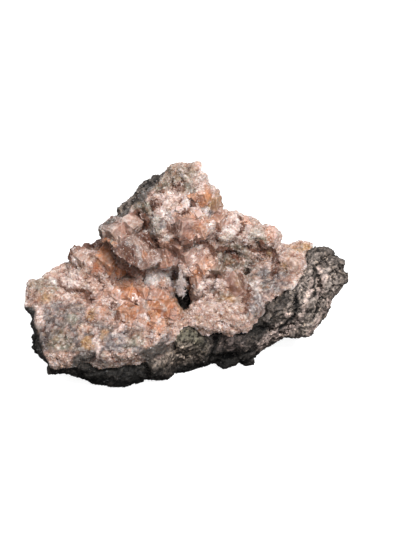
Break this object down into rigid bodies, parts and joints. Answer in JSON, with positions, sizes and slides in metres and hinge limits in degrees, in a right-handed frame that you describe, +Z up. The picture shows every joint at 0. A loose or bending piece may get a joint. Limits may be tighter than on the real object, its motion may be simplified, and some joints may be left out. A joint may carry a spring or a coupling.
{
  "type": "feldspar specimen",
  "caption": "Wedge of dark basalt with a thick pink and orange feldspar crust, blocky crystals and an open vug, standing on its flat base.",
  "frame": {"origin": "under the middle of the specimen's box, on the surface that it rests on", "axes": "+Z up, +X along the specimen's length to the right of the crystal face, +Y to its back"},
  "size_m": [0.1206, 0.0712, 0.0713],
  "materials": {
    "basalt": "rough broken basalt, grey-brown, speckled",
    "feldspar": "glassy to granular crystals, pink, orange and white"
  },
  "bodies": {
    "root": {"basalt_matrix": "basalt", "crystal_crust": "feldspar"}
  },
  "joints": []
}
